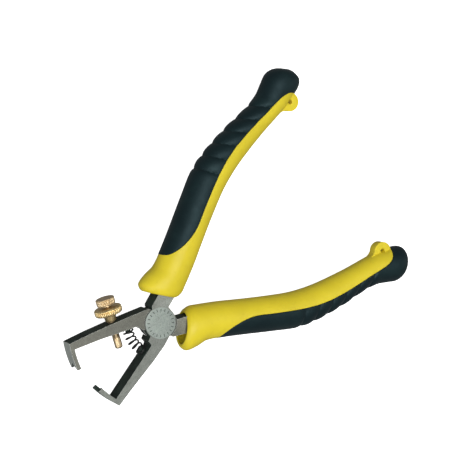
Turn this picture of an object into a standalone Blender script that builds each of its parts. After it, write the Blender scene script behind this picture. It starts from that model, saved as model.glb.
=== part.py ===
"""End wire-stripping pliers with a lap joint, an opening spring, a brass adjusting
screw with its lock nut, and two moulded grips.

The pliers lie flat: +Z is square to the flat side, +X runs from the jaws to the
handles and the origin is the centre of the rivet's back face. Each lever is drawn
straight along its own X, with +Y on the outer side of its handle. The rear lever is
the mirror image, turned the other way about the pivot.
"""
import math

import bmesh
import bpy
import numpy as np
from mathutils import Matrix, Vector

MM = 0.001
GAP = 0.3 * MM                      # clearance between neighbouring pieces

# Lap joint and steel levers
HALF_OPENING = math.radians(25.74)  # each lever's angle to +X with the handles open
HALF_STEEL = 4.3 * MM               # half the thickness of the forgings
MID_Z = HALF_STEEL                  # height of the tool's middle plane
BOSS_RADIUS = 6.8 * MM
POCKET_RADIUS = BOSS_RADIUS + GAP
RIVET_RADIUS = 2.6 * MM
RIVET_HEAD_RADIUS = 3.7 * MM
RIVET_HEAD_DEPTH = 1.1 * MM
TANG_HALF_THICKNESS = 2.2 * MM
TANG_START = 14.5 * MM
TANG_END = 82.0 * MM

# Bypassing hooks, concentric with the pivot: the front one passes inside the rear one
FRONT_HOOK_RADII = (35.6 * MM, 37.4 * MM)
REAR_HOOK_RADII = (37.7 * MM, 39.4 * MM)
HOOK_ROOT_DEG = 180.4
HOOK_TIP_DEG = 163.6
NOTCH_DEPTH = 3.0 * MM

# Adjusting screw, in the rear lever's arm
SCREW_POINT = (-18.5 * MM, 1.5 * MM)    # a point on its axis
SCREW_LEAN = math.radians(7.5)          # its axis leans this much from the lever's Y
SHANK_RADIUS = 1.6 * MM
SHANK_END = 5.6 * MM                    # rounded end, below SCREW_POINT
HEAD_RADIUS = 3.9 * MM
HEAD_BOTTOM = -12.9 * MM                # heights along the axis, minus is outwards
HEAD_TOP = -16.2 * MM
NUT_RADIUS = 5.75 * MM
NUT_TOP = -12.3 * MM
NUT_FLANGE_BOTTOM = -9.2 * MM
NUT_NECK_RADIUS = 2.6 * MM
NUT_BOTTOM = -6.4 * MM
NUT_FOOT_RADIUS = 2.25 * MM

# Opening spring, bowed round the pivot between the two arms
SPRING_ARC_RADIUS = 13.0 * MM
SPRING_END_DEG = 179.2
SPRING_COIL_RADIUS = 2.0 * MM
SPRING_WIRE_RADIUS = 0.34 * MM
SPRING_TURNS = 5
PEG_RADIUS = 1.1 * MM
PEG_INSIDE = 2.0 * MM
PEG_OUTSIDE = 1.8 * MM

# Moulded grips: stations along the handle, in millimetres and degrees:
# x, y of the centre, half width, half height, lean of the section
GRIP_STATIONS = (
    (10.5, 5.2, 8.0, 7.0, 16.0),
    (12.8, 5.6, 9.35, 7.9, 15.5),
    (16.3, 5.35, 8.85, 8.0, 12.0),
    (20.5, 4.65, 7.8, 7.8, 7.0),
    (28.0, 5.1, 7.65, 7.6, 2.0),
    (36.0, 6.0, 7.6, 7.5, -1.0),
    (50.0, 7.6, 7.75, 7.5, -5.0),
    (62.0, 8.55, 7.85, 7.5, 0.0),
    (72.0, 7.65, 7.85, 7.4, 8.0),
    (86.0, 4.45, 7.85, 7.1, 16.0),
    (98.0, 0.75, 7.3, 6.7, 16.0),
    (104.0, -0.7, 6.95, 6.6, 9.0),
    (108.5, -0.7, 7.1, 6.9, 2.0),
    (112.5, -0.9, 7.5, 7.1, 0.0),
    (115.8, -1.5, 6.8, 6.6, 2.0),
    (118.0, -2.0, 5.0, 5.0, 4.0),
    (119.2, -2.3, 2.4, 2.6, 5.0),
)
GRIP_SEGMENTS = 20
RIB_FIRST_X = 63.2 * MM
RIB_PITCH = 7.2 * MM
RIB_COUNT = 6
RIB_DEPTH = 0.6 * MM
COVER_THICKNESS = 2.2 * MM
CORE_END_X = 105.5 * MM
# The cover's edge seen from the side, in millimetres
PARTING_EDGE = (
    (23.8, 15.0), (25.2, 11.8), (27.0, 10.1), (31.0, 8.0), (36.0, 6.4), (41.5, 5.75),
    (50.0, 6.6), (60.0, 7.4), (68.0, 7.6), (76.0, 6.95), (83.0, 5.4), (91.0, 3.1),
    (97.5, 0.9), (103.0, -0.8), (107.5, -2.6), (110.5, -5.3), (112.3, -10.0),
)
COVER_REACH = 130.0 * MM            # past the end and the outer side of a grip
LOOP_CENTRE = (107.6 * MM, -7.9 * MM)
LOOP_RADIUS = 4.0 * MM
LOOP_HOLE_RADIUS = 1.05 * MM
LOOP_HALF_THICKNESS = 2.1 * MM

ROUND_SEGMENTS = 32


# Scene and materials

def clear_scene():
    for old in list(bpy.data.objects):
        bpy.data.objects.remove(old)


def make_collection(name):
    collection = bpy.data.collections.new(name)
    bpy.context.scene.collection.children.link(collection)
    return collection


def make_material(name, colour, roughness, metallic):
    material = bpy.data.materials.new(name)
    material.use_nodes = True
    shader = material.node_tree.nodes["Principled BSDF"]
    shader.inputs["Base Color"].default_value = (*colour, 1.0)
    shader.inputs["Roughness"].default_value = roughness
    shader.inputs["Metallic"].default_value = metallic
    return material


def make_object(name, mesh, collection, parent=None, place=None):
    piece = bpy.data.objects.new(name, mesh)
    collection.objects.link(piece)
    piece.parent = parent
    if place is not None:
        piece.matrix_local = place
    return piece


def hide_cutter(cutter):
    cutter.hide_render = True
    cutter.display_type = "WIRE"
    return cutter


def smooth(mesh, angle=35.0):
    mesh.shade_smooth()
    mesh.set_sharp_from_angle(angle=math.radians(angle))


def boolean(piece, operation, other):
    modifier = piece.modifiers.new(operation.lower(), "BOOLEAN")
    modifier.operation = operation
    modifier.solver = "EXACT"
    modifier.object = other


# Basic shapes, each returned as a mesh in the frame of its lever

def extruded_mesh(name, outline, half_thickness):
    """A flat outline made solid, half_thickness each side of the middle plane."""
    curve = bpy.data.curves.new(name, "CURVE")
    curve.dimensions = "2D"
    curve.fill_mode = "BOTH"
    curve.extrude = half_thickness
    spline = curve.splines.new("POLY")
    spline.points.add(len(outline) - 1)
    for point, (x, y) in zip(spline.points, outline):
        point.co = (x, y, 0.0, 1.0)
    spline.use_cyclic_u = True
    flat = bpy.data.objects.new(name, curve)
    bpy.context.scene.collection.objects.link(flat)
    depsgraph = bpy.context.evaluated_depsgraph_get()
    mesh = bpy.data.meshes.new_from_object(flat.evaluated_get(depsgraph))
    bpy.data.objects.remove(flat)
    work = bmesh.new()
    work.from_mesh(mesh)
    bmesh.ops.remove_doubles(work, verts=work.verts, dist=1e-6)
    bmesh.ops.recalc_face_normals(work, faces=work.faces)
    work.to_mesh(mesh)
    work.free()
    return mesh


def box_mesh(name, low, high):
    work = bmesh.new()
    bmesh.ops.create_cube(work, size=1.0)
    for vert in work.verts:
        for axis in range(3):
            vert.co[axis] = low[axis] if vert.co[axis] < 0 else high[axis]
    mesh = bpy.data.meshes.new(name)
    work.to_mesh(mesh)
    work.free()
    return mesh


def cylinder_mesh(name, radius, low, high, segments=ROUND_SEGMENTS):
    """A cylinder along Z from low to high."""
    work = bmesh.new()
    bmesh.ops.create_cone(
        work,
        cap_ends=True,
        segments=segments,
        radius1=radius,
        radius2=radius,
        depth=high - low,
        matrix=Matrix.Translation((0.0, 0.0, (low + high) / 2)),
    )
    mesh = bpy.data.meshes.new(name)
    work.to_mesh(mesh)
    work.free()
    return mesh


def turned_mesh(name, profile, steps=ROUND_SEGMENTS, closed=False):
    """A profile of (radius, height), outer side from top to bottom, turned about Z."""
    edges = [(i, i + 1) for i in range(len(profile) - 1)]
    if closed:
        edges.append((len(profile) - 1, 0))
    mesh = bpy.data.meshes.new(name)
    mesh.from_pydata([(r, 0.0, z) for r, z in profile], edges, [])
    lathe = bpy.data.objects.new(name, mesh)
    bpy.context.scene.collection.objects.link(lathe)
    screw = lathe.modifiers.new("turn", "SCREW")
    screw.axis = "Z"
    screw.steps = steps
    screw.render_steps = steps
    screw.use_merge_vertices = True
    screw.merge_threshold = 1e-6
    depsgraph = bpy.context.evaluated_depsgraph_get()
    turned = bpy.data.meshes.new_from_object(lathe.evaluated_get(depsgraph))
    bpy.data.objects.remove(lathe)
    smooth(turned)
    return turned


def loft_mesh(name, rings):
    """Closed skin over rings of equal length, with a flat cap on each end."""
    work = bmesh.new()
    rows = [[work.verts.new(point) for point in ring] for ring in rings]
    count = len(rows[0])
    for row, following in zip(rows, rows[1:]):
        for i in range(count):
            j = (i + 1) % count
            work.faces.new((row[i], row[j], following[j], following[i]))
    work.faces.new(rows[0])
    work.faces.new(rows[-1])
    bmesh.ops.recalc_face_normals(work, faces=work.faces)
    mesh = bpy.data.meshes.new(name)
    work.to_mesh(mesh)
    work.free()
    smooth(mesh)
    return mesh


# Steel levers

def polar(radius, degrees):
    angle = math.radians(degrees)
    return (radius * math.cos(angle), radius * math.sin(angle))


def arc(radius, start_deg, end_deg, steps):
    return [polar(radius, a) for a in np.linspace(start_deg, end_deg, steps + 1)]


def scaled(points):
    return [(x * MM, y * MM) for x, y in points]


def lever_outline(hook_radii, outer_edge, inner_edge):
    """Counter-clockwise from the tang's tip: neck, boss, arm, hook and back."""
    inner_radius, outer_radius = hook_radii
    tang_outer = scaled([(80.0, 7.4), (70.0, 10.0), (60.0, 11.2), (45.0, 10.3), (30.0, 8.9), (17.0, 7.2)])
    tang_inner = scaled([(17.0, 0.2), (30.0, 1.6), (45.0, 3.9), (60.0, 5.4), (70.0, 5.2), (80.0, 4.4)])
    neck_outer = scaled([(14.5, 6.6), (9.1, 6.6), (4.4, 6.8)])
    neck_inner = scaled([(7.3, 0.1), (13.0, -0.3)])
    root_corner = inner_radius * math.cos(math.radians(4.0))
    points = [(TANG_END, 6.0 * MM)]
    points += tang_outer + neck_outer
    points += arc(BOSS_RADIUS, 62.0, 168.0, 17)
    points += scaled(inner_edge)
    points += [(-root_corner, 2.4 * MM)]
    points += arc(inner_radius, 174.5, HOOK_TIP_DEG, 5)
    points += arc(outer_radius, HOOK_TIP_DEG, HOOK_ROOT_DEG, 7)
    points += scaled(outer_edge)
    points += arc(BOSS_RADIUS, 244.0, 346.0, 16)
    points += neck_inner + tang_inner
    return points


def mirrored(outline, side):
    return [(x, y * side) for x, y in outline]


def notch_cutter(name, hook_radii, side, collection, parent):
    """A square bar on its edge, along the hook's radius, that cuts the V."""
    half_diagonal = NOTCH_DEPTH + 0.5 * MM
    half_side = half_diagonal / math.sqrt(2)
    middle_radius = sum(hook_radii) / 2
    apex_deg = HOOK_TIP_DEG + math.degrees(NOTCH_DEPTH / middle_radius)
    mesh = box_mesh(name, (-2.5 * MM, -half_side, -half_side), (2.5 * MM, half_side, half_side))
    outward = math.radians(apex_deg) * side
    place = Matrix.Rotation(outward, 4, "Z")
    place @= Matrix.Translation((middle_radius, -half_diagonal * side, 0.0))
    place @= Matrix.Rotation(math.radians(45.0), 4, "X")
    return hide_cutter(make_object(name, mesh, collection, parent, place))


def rivet_profile(grow):
    """Countersunk at both ends, flush with the forgings; grow makes its clearance hole."""
    neck = HALF_STEEL - RIVET_HEAD_DEPTH
    end = HALF_STEEL + (GAP if grow else 0.0)
    flare = RIVET_HEAD_RADIUS + grow + (GAP if grow else 0.0)
    body = RIVET_RADIUS + grow
    return [(0.0, end), (flare, end), (body, neck - grow), (body, -neck + grow), (flare, -end), (0.0, -end)]


def screw_frame(side):
    """Z outwards along the adjusting screw, in the frame of a lever on this side."""
    outward = Vector((-math.sin(SCREW_LEAN), -math.cos(SCREW_LEAN) * side, 0.0))
    along = Vector((0.0, 0.0, 1.0))
    across = along.cross(outward)
    place = Matrix((across, along, outward)).transposed().to_4x4()
    place.translation = (SCREW_POINT[0], SCREW_POINT[1] * side, 0.0)
    return place


def peg_frame(side):
    """Z out of the arm's inner edge at the spring's seat, round the pivot."""
    angle = math.radians(SPRING_END_DEG)
    seat = Vector((math.cos(angle), math.sin(angle) * side, 0.0)) * SPRING_ARC_RADIUS
    outward = Vector((math.sin(angle), -math.cos(angle) * side, 0.0))
    along = Vector((0.0, 0.0, 1.0))
    place = Matrix((along.cross(outward), along, outward)).transposed().to_4x4()
    place.translation = seat
    return place


def make_lever(name, side, hook_radii, outer_edge, inner_edge, parts, cutters, parent, steel):
    """A forging whose half of the lap joint is at the front for side 1, else at the back."""
    outline = mirrored(lever_outline(hook_radii, outer_edge, inner_edge), side)
    lever = make_object(name, extruded_mesh(name, outline, HALF_STEEL), parts, parent)
    lever.data.materials.append(steel)
    beyond = HALF_STEEL + 1.0 * MM
    low, high = (-beyond, GAP / 2) if side > 0 else (-GAP / 2, beyond)
    round_pocket = cylinder_mesh("pocket", POCKET_RADIUS, low, high, 48)
    pocket = make_object(f"{name}_pocket", round_pocket, cutters, parent)
    boolean(lever, "DIFFERENCE", hide_cutter(pocket))
    rivet_room = turned_mesh("rivet_hole", rivet_profile(0.2 * MM))
    hole = make_object(f"{name}_rivet_hole", rivet_room, cutters, parent)
    boolean(lever, "DIFFERENCE", hide_cutter(hole))
    boolean(lever, "DIFFERENCE", notch_cutter(f"{name}_notch", hook_radii, side, cutters, parent))
    for face in (-1, 1):
        step = sorted((face * TANG_HALF_THICKNESS, face * beyond))
        mesh = box_mesh("tang_step", (TANG_START, -20.0 * MM, step[0]), (100.0 * MM, 20.0 * MM, step[1]))
        cutter = make_object(f"{name}_tang_step_{'back' if face < 0 else 'front'}", mesh, cutters, parent)
        boolean(lever, "DIFFERENCE", hide_cutter(cutter))
    peg_hole = cylinder_mesh("peg_hole", PEG_RADIUS + 0.2 * MM, -PEG_INSIDE - 2 * GAP, 2.0 * MM, 16)
    seat = make_object(f"{name}_peg_hole", peg_hole, cutters, parent, peg_frame(side))
    boolean(lever, "DIFFERENCE", hide_cutter(seat))
    return lever


# Small parts

def make_rivet(parts, parent, steel):
    rivet = make_object("pivot_rivet", turned_mesh("pivot_rivet", rivet_profile(0.0)), parts, parent)
    rivet.data.materials.append(steel)


def make_screw(parts, parent, brass):
    """Knurled head, plain shank and rounded end. Z is outwards, so heights change sign."""
    head_edge = 0.5 * MM
    round_end = [
        (SHANK_RADIUS * math.sin(a), -SHANK_END + SHANK_RADIUS * (1 - math.cos(a)) / 2)
        for a in np.linspace(math.pi / 2, 0.0, 5)
    ]
    profile = [
        (0.0, -HEAD_TOP),
        (HEAD_RADIUS - head_edge, -HEAD_TOP),
        (HEAD_RADIUS, -HEAD_TOP - head_edge),
        (HEAD_RADIUS, -HEAD_BOTTOM + head_edge),
        (HEAD_RADIUS - head_edge, -HEAD_BOTTOM),
        (SHANK_RADIUS, -HEAD_BOTTOM),
    ] + round_end[:-1] + [(0.0, round_end[-1][1])]
    screw = make_object("adjusting_screw", turned_mesh("adjusting_screw", profile, 24), parts, parent)
    screw.data.materials.append(brass)


def make_nut(parts, parent, brass):
    """Knurled flange on a tapered neck, with a through hole for the screw."""
    rim = 0.8 * MM
    bore = SHANK_RADIUS + 0.2 * MM
    profile = [
        (bore, -NUT_TOP),
        (NUT_RADIUS - rim, -NUT_TOP),
        (NUT_RADIUS, -NUT_TOP - rim),
        (NUT_RADIUS, -NUT_FLANGE_BOTTOM + rim),
        (NUT_RADIUS - rim, -NUT_FLANGE_BOTTOM),
        (NUT_NECK_RADIUS, -NUT_FLANGE_BOTTOM),
        (NUT_FOOT_RADIUS, -NUT_BOTTOM),
        (bore, -NUT_BOTTOM),
    ]
    nut = make_object("lock_nut", turned_mesh("lock_nut", profile, 24, closed=True), parts, parent)
    nut.data.materials.append(brass)


def make_peg(name, side, parts, parent, steel):
    pin = cylinder_mesh(name, PEG_RADIUS, -PEG_INSIDE, PEG_OUTSIDE, 16)
    peg = make_object(name, pin, parts, parent, peg_frame(side))
    smooth(peg.data)
    peg.data.materials.append(steel)


def spring_point(turn_angle, share):
    """A point of the coil's wire, share of the way along the arc round the pivot."""
    half_sweep = math.radians(SPRING_END_DEG) - (math.pi - HALF_OPENING)
    around = math.pi + half_sweep * (2 * share - 1)
    radius = SPRING_ARC_RADIUS + SPRING_COIL_RADIUS * math.cos(turn_angle)
    height = SPRING_COIL_RADIUS * math.sin(turn_angle)
    return (radius * math.cos(around), radius * math.sin(around), height)


def make_spring(parts, parent, black_steel):
    steps_per_turn = 12
    steps = SPRING_TURNS * steps_per_turn
    curve = bpy.data.curves.new("opening_spring", "CURVE")
    curve.dimensions = "3D"
    curve.bevel_depth = SPRING_WIRE_RADIUS
    curve.bevel_resolution = 2
    curve.use_fill_caps = True
    spline = curve.splines.new("POLY")
    spline.points.add(steps)
    for i, point in enumerate(spline.points):
        turn_angle = 2 * math.pi * i / steps_per_turn
        point.co = (*spring_point(turn_angle, i / steps), 1.0)
    spring = make_object("opening_spring", curve, parts, parent)
    curve.materials.append(black_steel)
    return spring


# Grips

def station_at(x):
    """The grip's station at x millimetres, on a smooth curve through GRIP_STATIONS."""
    rows = np.array(GRIP_STATIONS)
    i = int(np.clip(np.searchsorted(rows[:, 0], x) - 1, 0, len(rows) - 2))
    before = rows[max(i - 1, 0)]
    start, end = rows[i], rows[i + 1]
    after = rows[min(i + 2, len(rows) - 1)]
    span = end[0] - start[0]
    slope_in = (end - before) / max(end[0] - before[0], 1e-9) * span
    slope_out = (after - start) / max(after[0] - start[0], 1e-9) * span
    t = (x - start[0]) / span
    row = (
        (2 * t**3 - 3 * t**2 + 1) * start
        + (t**3 - 2 * t**2 + t) * slope_in
        + (3 * t**2 - 2 * t**3) * end
        + (t**3 - t**2) * slope_out
    )
    row[0] = x
    return row


def rib_groove(x):
    """Depth of the finger groove at x along the grip."""
    along = (x - RIB_FIRST_X) / RIB_PITCH
    if along < -0.5 or along > RIB_COUNT - 0.5:
        return 0.0
    return RIB_DEPTH * max(0.0, math.cos(2 * math.pi * along)) ** 2


def grip_ring(x, side, inset, segments, ribbed):
    """One section of the grip, at x millimetres, inset metres under its surface."""
    station = station_at(x)
    lean = math.radians(station[4])
    ring = []
    for i in range(segments):
        angle = 2 * math.pi * i / segments
        groove = rib_groove(x * MM) * max(0.0, math.cos(angle)) if ribbed else 0.0
        across = (station[2] * MM - inset - groove) * math.cos(angle)
        height = (station[3] * MM - inset - groove) * math.sin(angle)
        centre_x = station[0] * MM - across * math.sin(lean)
        centre_y = station[1] * MM + across * math.cos(lean)
        ring.append((centre_x, centre_y * side, height))
    return ring


def grip_mesh(name, side):
    """The whole outer form of the grip, with the finger grooves on its outer side."""
    last_rib = RIB_FIRST_X + (RIB_COUNT - 1) * RIB_PITCH
    front = [row[0] for row in GRIP_STATIONS if row[0] * MM < RIB_FIRST_X - RIB_PITCH]
    rib_steps = 3 * (RIB_COUNT - 1)
    ribs = list(np.linspace(RIB_FIRST_X, last_rib, rib_steps + 1) / MM)
    back = [row[0] for row in GRIP_STATIONS if row[0] * MM > last_rib + 2.0 * MM]
    places = front + [43.0, 57.0] + ribs + back
    rings = [grip_ring(x, side, 0.0, GRIP_SEGMENTS, True) for x in sorted(places)]
    return loft_mesh(name, rings)


def core_mesh(name, side, inset):
    """The sleeve's core under the cover."""
    places = np.linspace(20.0, CORE_END_X / MM, 14)
    return loft_mesh(name, [grip_ring(x, side, inset, 16, False) for x in places])


def cover_region(name, side, shift):
    """Everything on the cover's side of the parting edge, moved by shift towards the sleeve."""
    edge = np.array(PARTING_EDGE) * MM
    run = np.gradient(edge, axis=0)
    run /= np.linalg.norm(run, axis=1)[:, None]
    towards_sleeve = np.stack([run[:, 1], -run[:, 0]], axis=1)
    edge = edge + towards_sleeve * shift
    far = [(COVER_REACH, edge[-1][1]), (COVER_REACH, 30.0 * MM), (edge[0][0], 30.0 * MM)]
    outline = [tuple(point) for point in edge] + far
    return extruded_mesh(name, mirrored(outline, side), 12.0 * MM)


def cavity_mesh(name, side):
    """Funnel for the neck at the collar's mouth, narrowing to the tang's slot."""
    sections = [(7.0, 3.3, 6.2, 6.4), (10.0, 3.3, 6.1, 6.3), (14.8, 3.3, 5.9, 6.0), (16.8, 3.8, 4.8, 3.2)]
    rings = []
    for x, y, half_width, half_height in sections:
        ring = []
        for i in range(16):
            angle = 2 * math.pi * i / 16
            across = (y + half_width * math.cos(angle)) * side
            ring.append((x * MM, across * MM, half_height * math.sin(angle) * MM))
        rings.append(ring)
    return loft_mesh(name, rings)


def tang_slot_mesh(name, side):
    """The slot that the tang fills, GAP larger all round."""
    outline = scaled([
        (15.5, -0.1), (30.0, 1.2), (45.0, 3.5), (60.0, 5.0), (70.0, 4.8), (82.8, 4.0),
        (82.8, 7.3), (70.0, 10.4), (60.0, 11.6), (45.0, 10.7), (30.0, 9.4), (15.5, 8.2),
    ])
    return extruded_mesh(name, mirrored(outline, side), TANG_HALF_THICKNESS + GAP)


def make_grip(names, side, parts, cutters, parent, plastic, rubber):
    sleeve_name, cover_name = names
    form = grip_mesh("grip_form", side)

    cover = make_object(cover_name, form.copy(), parts, parent)
    cover.data.materials.append(rubber)
    region = make_object(f"{cover_name}_region", cover_region("region", side, 0.0), cutters, parent)
    boolean(cover, "INTERSECT", hide_cutter(region))
    core = make_object(f"{cover_name}_core", core_mesh("core", side, COVER_THICKNESS), cutters, parent)
    boolean(cover, "DIFFERENCE", hide_cutter(core))

    sleeve = make_object(sleeve_name, form.copy(), parts, parent)
    sleeve.data.materials.append(plastic)
    at_loop = Matrix.Translation((LOOP_CENTRE[0], LOOP_CENTRE[1] * side, 0.0))
    tab = cylinder_mesh("tab", LOOP_RADIUS, -LOOP_HALF_THICKNESS, LOOP_HALF_THICKNESS, 24)
    loop = make_object(f"{sleeve_name}_loop", tab, cutters, parent, at_loop)
    boolean(sleeve, "UNION", hide_cutter(loop))
    drill = cylinder_mesh("eye", LOOP_HOLE_RADIUS, -6.0 * MM, 6.0 * MM, 16)
    eye = make_object(f"{sleeve_name}_eye", drill, cutters, parent, at_loop)
    boolean(sleeve, "DIFFERENCE", hide_cutter(eye))
    recess = make_object(f"{sleeve_name}_recess", cover_region("recess", side, GAP), cutters, parent)
    inner_form = core_mesh("inner", side, COVER_THICKNESS + GAP)
    inner = make_object(f"{sleeve_name}_inner", inner_form, cutters, parent)
    boolean(recess, "DIFFERENCE", hide_cutter(inner))
    boolean(sleeve, "DIFFERENCE", hide_cutter(recess))

    mouth = make_object(f"{sleeve_name}_mouth", cavity_mesh("mouth", side), cutters, parent)
    boolean(sleeve, "DIFFERENCE", hide_cutter(mouth))
    slot = make_object(f"{sleeve_name}_slot", tang_slot_mesh("slot", side), cutters, parent)
    boolean(sleeve, "DIFFERENCE", hide_cutter(slot))


# Assembly

def make_axis(name, parts, parent, place):
    axis = bpy.data.objects.new(name, None)
    parts.objects.link(axis)
    axis.empty_display_size = 0.01
    axis.parent = parent
    axis.matrix_local = place
    return axis


def main():
    clear_scene()
    parts = make_collection("wire_stripper")
    cutters = make_collection("cutters")

    steel = make_material("lever_steel", (0.42, 0.43, 0.41), 0.45, 0.9)
    rivet_steel = make_material("rivet_steel", (0.50, 0.51, 0.50), 0.4, 0.9)
    black_steel = make_material("spring_steel", (0.02, 0.02, 0.02), 0.4, 0.8)
    brass = make_material("brass", (0.62, 0.45, 0.20), 0.35, 1.0)
    plastic = make_material("yellow_plastic", (0.78, 0.65, 0.03), 0.4, 0.0)
    rubber = make_material("black_rubber", (0.012, 0.02, 0.025), 0.6, 0.0)

    pivot = make_axis("pivot_axis", parts, None, Matrix.Translation((0.0, 0.0, MID_Z)))
    front = make_axis("front_lever_axis", parts, pivot, Matrix.Rotation(HALF_OPENING, 4, "Z"))
    rear = make_axis("rear_lever_axis", parts, pivot, Matrix.Rotation(-HALF_OPENING, 4, "Z"))
    screw_axis = make_axis("screw_axis", parts, rear, screw_frame(-1))
    bpy.context.view_layer.update()

    # Edges of the two arms, in millimetres, from the boss to the hook or back
    front_inner = [(-8.9, 1.2), (-9.5, -0.6), (-10.5, -0.8)]
    front_outer = [(-30.5, -1.5), (-24.0, -2.9), (-15.0, -4.8), (-7.5, -6.0)]
    rear_inner = [(-7.7, 1.2), (-9.2, 0.0), (-10.3, -0.9), (-17.4, -0.1), (-26.2, 0.8)]
    rear_outer = [(-30.0, -2.4), (-21.0, -4.1), (-12.0, -5.7), (-4.4, -6.9)]

    make_lever(
        "front_lever", 1, FRONT_HOOK_RADII, front_outer, front_inner, parts, cutters, front, steel,
    )
    rear_lever = make_lever(
        "rear_lever", -1, REAR_HOOK_RADII, rear_outer, rear_inner, parts, cutters, rear, steel,
    )
    bore = cylinder_mesh("screw_hole", SHANK_RADIUS + 0.2 * MM, -SHANK_END, -NUT_TOP, 24)
    hole = make_object("rear_lever_screw_hole", bore, cutters, screw_axis)
    boolean(rear_lever, "DIFFERENCE", hide_cutter(hole))

    make_rivet(parts, pivot, rivet_steel)
    make_screw(parts, screw_axis, brass)
    make_nut(parts, screw_axis, brass)
    make_peg("front_spring_peg", 1, parts, front, rivet_steel)
    make_peg("rear_spring_peg", -1, parts, rear, rivet_steel)
    make_spring(parts, pivot, black_steel)
    make_grip(("front_grip_sleeve", "front_grip_cover"), 1, parts, cutters, front, plastic, rubber)
    make_grip(("rear_grip_sleeve", "rear_grip_cover"), -1, parts, cutters, rear, plastic, rubber)


main()
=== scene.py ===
"""Looks of an end wire stripper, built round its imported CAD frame.

The pliers lie flat: +Z is square to the flat side, +X runs from the jaws to the
handles, and the origin is the centre of the rivet's back face. A lever's own frame has
x along its handle and y to the handle's outer side; the rear lever is the mirror image.
Side is 1 for the front lever and -1 for the rear one. Lengths are in metres, except
where a comment says millimetres.
"""

import math

import bmesh
import bpy
import numpy as np
from mathutils import Matrix, Vector


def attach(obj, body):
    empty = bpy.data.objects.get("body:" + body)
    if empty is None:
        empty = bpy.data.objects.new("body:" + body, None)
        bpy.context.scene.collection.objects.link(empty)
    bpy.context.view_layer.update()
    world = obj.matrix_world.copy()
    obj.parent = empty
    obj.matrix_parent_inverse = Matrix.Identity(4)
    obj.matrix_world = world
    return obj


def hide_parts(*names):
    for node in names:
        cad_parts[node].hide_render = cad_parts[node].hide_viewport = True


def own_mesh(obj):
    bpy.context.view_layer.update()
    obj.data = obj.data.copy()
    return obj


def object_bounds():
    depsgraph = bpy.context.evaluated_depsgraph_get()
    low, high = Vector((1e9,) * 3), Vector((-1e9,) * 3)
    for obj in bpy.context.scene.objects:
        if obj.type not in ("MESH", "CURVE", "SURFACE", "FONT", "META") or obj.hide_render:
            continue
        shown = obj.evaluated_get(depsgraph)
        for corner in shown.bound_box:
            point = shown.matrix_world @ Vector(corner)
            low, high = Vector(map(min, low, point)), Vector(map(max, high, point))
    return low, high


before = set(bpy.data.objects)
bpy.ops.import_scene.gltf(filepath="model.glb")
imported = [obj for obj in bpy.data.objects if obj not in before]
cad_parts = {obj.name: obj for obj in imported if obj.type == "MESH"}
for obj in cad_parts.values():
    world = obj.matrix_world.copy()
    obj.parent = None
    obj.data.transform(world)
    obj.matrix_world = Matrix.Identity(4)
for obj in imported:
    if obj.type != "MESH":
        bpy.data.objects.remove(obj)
cad_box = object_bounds()

MM = 0.001
HALF_OPENING = math.radians(25.74)  # each lever's angle to +X with the handles open
MID_Z = 4.3 * MM                    # height of the tool's middle plane
FLAT_HALF = 4.3 * MM                # half the thickness of the forgings
HOOK_INNER_RADIUS = 34.8 * MM       # faces further from the pivot than this are the hooks'
FRONT_EDGE_WIDTH = 0.22 * MM        # broken edges of the two forgings
REAR_EDGE_WIDTH = 0.34 * MM
PLATE_RADIUS = 6.55 * MM            # the rivet's broad head at the front
PLATE_PROUD = 0.07 * MM
BACK_HEAD_RADIUS = 3.9 * MM         # the rivet's small head at the back
MARK_COUNT = 20
MARK_RING_RADIUS = 5.35 * MM
MARK_LENGTH = 1.1 * MM
MARK_WIDTH = 0.34 * MM

# Adjusting screw and lock nut: radii, and heights along their axis, plus is outwards
SCREW_POINT = (-18.5 * MM, 1.5 * MM)
SCREW_LEAN = math.radians(7.5)
SHANK_RADIUS = 1.6 * MM
SHANK_END = -5.6 * MM
THREAD_PITCH = 0.5 * MM
THREAD_DEPTH = 0.16 * MM
THREAD_END = -1.2 * MM
HEAD_RADIUS = 3.9 * MM
HEAD_BOTTOM = 12.9 * MM
HEAD_TOP = 16.2 * MM
HEAD_UNDERCUT = 0.45 * MM
HEAD_NECK_RADIUS = 2.5 * MM
NUT_RADIUS = 5.75 * MM
NUT_TOP = 12.3 * MM
NUT_FLANGE_BOTTOM = 9.2 * MM
NUT_NECK_RADIUS = 2.6 * MM
NUT_FOOT_RADIUS = 2.25 * MM
NUT_BOTTOM = 6.4 * MM

# Opening spring
SPRING_ARC_RADIUS = 13.0 * MM
SPRING_END_DEG = 179.2
SPRING_COIL_RADIUS = 2.0 * MM
SPRING_WIRE_RADIUS = 0.34 * MM
SPRING_TURNS = 5

# Grips, in millimetres. A station is x, y of its centre, half width, half height, lean
# in degrees
GRIP_STATIONS = np.array((
    (10.5, 5.2, 8.0, 7.0, 16.0),
    (12.8, 5.6, 9.35, 7.9, 15.5),
    (16.3, 5.35, 8.85, 8.0, 12.0),
    (20.5, 4.65, 7.8, 7.8, 7.0),
    (28.0, 5.1, 7.65, 7.6, 2.0),
    (36.0, 6.0, 7.6, 7.5, -1.0),
    (50.0, 7.6, 7.75, 7.5, -5.0),
    (62.0, 8.55, 7.85, 7.5, 0.0),
    (72.0, 7.65, 7.85, 7.4, 8.0),
    (86.0, 4.45, 7.85, 7.1, 16.0),
    (98.0, 0.75, 7.3, 6.7, 16.0),
    (104.0, -0.7, 6.95, 6.6, 9.0),
    (108.5, -0.7, 7.1, 6.9, 2.0),
    (112.5, -0.9, 7.5, 7.1, 0.0),
    (115.8, -1.5, 6.8, 6.6, 2.0),
    (118.0, -2.0, 5.0, 5.0, 4.0),
    (119.2, -2.3, 2.4, 2.6, 5.0),
))
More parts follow.
